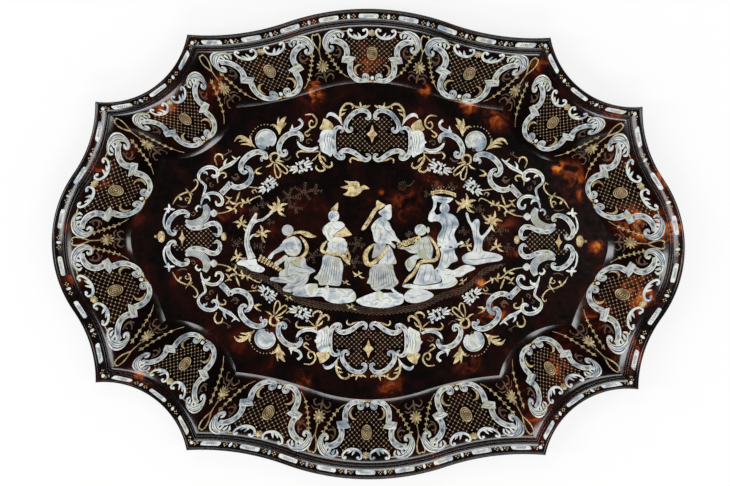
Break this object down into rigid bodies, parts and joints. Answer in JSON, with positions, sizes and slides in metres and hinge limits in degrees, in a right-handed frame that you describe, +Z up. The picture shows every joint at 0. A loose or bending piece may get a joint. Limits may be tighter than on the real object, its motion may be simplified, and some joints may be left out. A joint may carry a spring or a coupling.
{
  "type": "inlaid serving tray",
  "caption": "Large shaped serving tray with flared curved walls, hollow corners and a banded rim, inlaid with figures, scrolls and medallions.",
  "frame": {"origin": "under the middle of the tray, on the plane that it stands on", "axes": "+X along the tray's long axis, +Y across it, +Z up out of the well"},
  "size_m": [0.56, 0.418, 0.04],
  "materials": {
    "tortoiseshell": "dark mottled shell, moulded and polished to a high gloss",
    "mother_of_pearl": "cut, engraved and polished shell with a soft rainbow sheen",
    "gold": "chased sheet and wire, softly polished"
  },
  "bodies": {
    "root": {"bird": "gold", "figure_gatherer": "mother_of_pearl", "figure_seated": "mother_of_pearl", "figure_with_basket": "mother_of_pearl", "figure_with_fan": "mother_of_pearl", "figure_with_veil": "mother_of_pearl", "floor_plate": "tortoiseshell", "frame_east": "mother_of_pearl", "frame_north": "mother_of_pearl", "frame_south": "mother_of_pearl", "frame_west": "mother_of_pearl", "ground_front_rock": "mother_of_pearl", "ground_left_rock": "mother_of_pearl", "ground_middle_rock": "mother_of_pearl", "ground_right_rock": "mother_of_pearl", "ground_small_rock": "mother_of_pearl", "lozenge_east": "gold", "lozenge_north": "gold", "lozenge_south": "gold", "lozenge_west": "gold", "medallion_east_1": "gold", "medallion_east_2": "gold", "medallion_north_1": "gold", "medallion_north_2": "gold", "medallion_north_3": "gold", "medallion_northeast_1": "gold", "medallion_northwest_1": "gold", "medallion_south_1": "gold", "medallion_south_2": "gold", "medallion_south_3": "gold", "medallion_southeast_1": "gold", "medallion_southwest_1": "gold", "medallion_west_1": "gold", "medallion_west_2": "gold", "rim_east": "tortoiseshell", "rim_north": "tortoiseshell", "rim_northeast": "tortoiseshell", "rim_northwest": "tortoiseshell", "rim_south": "tortoiseshell", "rim_southeast": "tortoiseshell", "rim_southwest": "tortoiseshell", "rim_west": "tortoiseshell", "shell_northeast": "mother_of_pearl", "shell_northwest": "mother_of_pearl", "shell_southeast": "mother_of_pearl", "shell_southwest": "mother_of_pearl", "tree_left": "mother_of_pearl", "tree_stump": "mother_of_pearl", "wall_east": "tortoiseshell", "wall_north": "tortoiseshell", "wall_northeast": "tortoiseshell", "wall_northwest": "tortoiseshell", "wall_south": "tortoiseshell", "wall_southeast": "tortoiseshell", "wall_southwest": "tortoiseshell", "wall_west": "tortoiseshell"}
  },
  "joints": []
}
